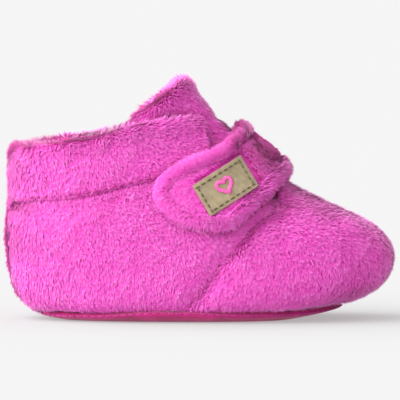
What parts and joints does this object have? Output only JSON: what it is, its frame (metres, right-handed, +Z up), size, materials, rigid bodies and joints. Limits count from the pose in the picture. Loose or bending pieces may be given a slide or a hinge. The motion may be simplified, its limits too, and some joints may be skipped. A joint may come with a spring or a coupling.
{
  "type": "baby bootie",
  "caption": "Soft plush crib bootie with a fabric sole, stand-up collar, padded tongue and an instep strap that closes with hook and loop.",
  "frame": {"origin": "on the floor under the middle of the bootie's bounding box", "axes": "+X towards the toe, -Y is the side that the strap closes on, +Z up"},
  "size_m": [0.13, 0.064, 0.0798],
  "materials": {
    "plush": "short brushed pink plush pile",
    "fleece_lining": "low pink fleece",
    "sole_suede": "flat napped crimson fabric",
    "foam": "needled polyester wadding",
    "tape": "woven tape and hook-and-loop tape",
    "label_linen": "khaki plain-woven label",
    "pink_thread": "twisted polyester thread",
    "brown_thread": "twisted olive-brown thread"
  },
  "bodies": {
    "upper": {"outsole": "sole_suede", "midsole_foam": "foam", "insole": "fleece_lining", "vamp": "plush", "vamp_lining": "fleece_lining", "quarter_near": "plush", "quarter_far": "plush", "quarter_lining_near": "fleece_lining", "quarter_lining_far": "fleece_lining", "collar_band": "plush", "tongue_base": "plush", "tongue_base_lining": "fleece_lining", "strap_anchor": "plush", "loop_pad": "tape", "collar_seam_thread": "pink_thread", "vamp_seam_thread_near": "pink_thread", "vamp_seam_thread_far": "pink_thread", "back_seam_thread": "pink_thread", "sole_seam_thread": "pink_thread"},
    "strap_bridge": {"strap_bridge": "plush", "strap_bridge_backing": "tape", "bridge_topstitch_rear": "pink_thread", "bridge_topstitch_front": "pink_thread"},
    "strap_tab": {"strap_tab": "plush", "strap_tab_backing": "tape", "hook_pad": "tape", "label_patch": "label_linen", "label_stitching": "brown_thread", "label_heart": "pink_thread", "tab_topstitch": "pink_thread"},
    "tongue_top": {"tongue_top": "plush", "tongue_top_lining": "fleece_lining"}
  },
  "joints": [
    {"name": "strap_swing", "type": "hinge", "parent": "upper", "child": "strap_bridge", "pos_m": [0.00884, 0.02802, 0.0473], "axis": [-0.6375, -0.2192, 0.7386], "range_deg": [0, 110]},
    {"name": "strap_peel", "type": "hinge", "parent": "strap_bridge", "child": "strap_tab", "pos_m": [0.0171, -0.01668, 0.0543], "axis": [-0.7509, 0.068, 0.6569], "range_deg": [0, 80]},
    {"name": "tongue_tilt", "type": "hinge", "parent": "upper", "child": "tongue_top", "pos_m": [0.0105, 0.00112, 0.0626], "axis": [0, 1, 0], "range_deg": [0, 35]}
  ]
}
